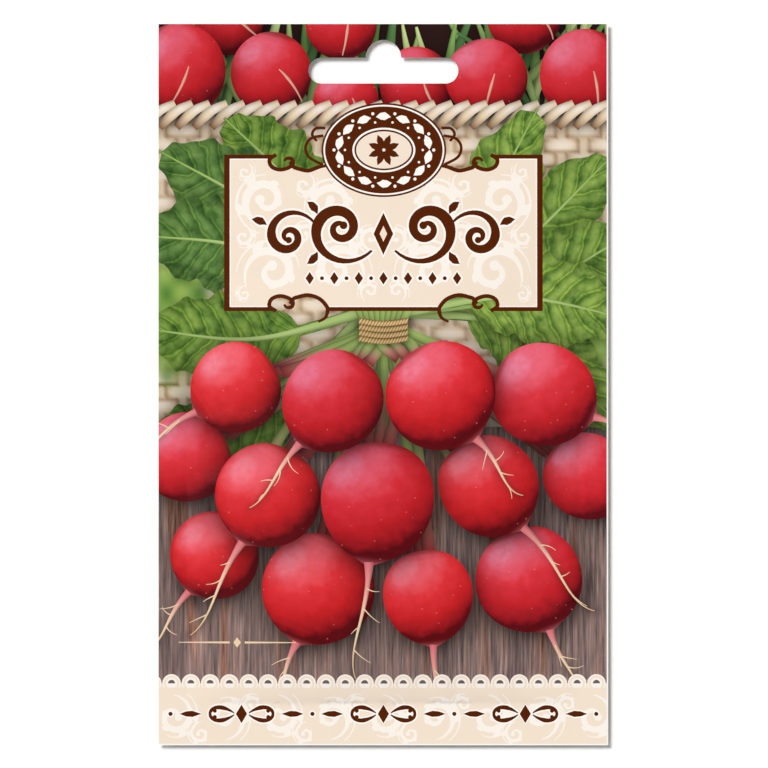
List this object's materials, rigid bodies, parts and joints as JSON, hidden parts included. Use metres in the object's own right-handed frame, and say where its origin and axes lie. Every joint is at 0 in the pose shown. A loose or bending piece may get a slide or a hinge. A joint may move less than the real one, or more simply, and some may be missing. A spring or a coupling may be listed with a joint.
{
  "type": "seed packet",
  "caption": "Flat sealed paper seed packet with a printed front, a hanging slot through its header and a bed of seed inside.",
  "frame": {"origin": "on the surface that the packet lies on, under the middle of its outline", "axes": "+X across the packet, +Y up the packet towards the edge with the hanging slot, +Z out of the printed front"},
  "size_m": [0.096, 0.154, 0.0051],
  "materials": {
    "front_paper": "coated paper, printed all over and varnished to a soft gloss",
    "back_paper": "coated paper with a plain cream and brown print, soft gloss",
    "seed_coat": "dull dry seed coat, reddish brown"
  },
  "bodies": {
    "root": {"back_web": "back_paper", "front_web": "front_paper", "seeds": "seed_coat"}
  },
  "joints": []
}
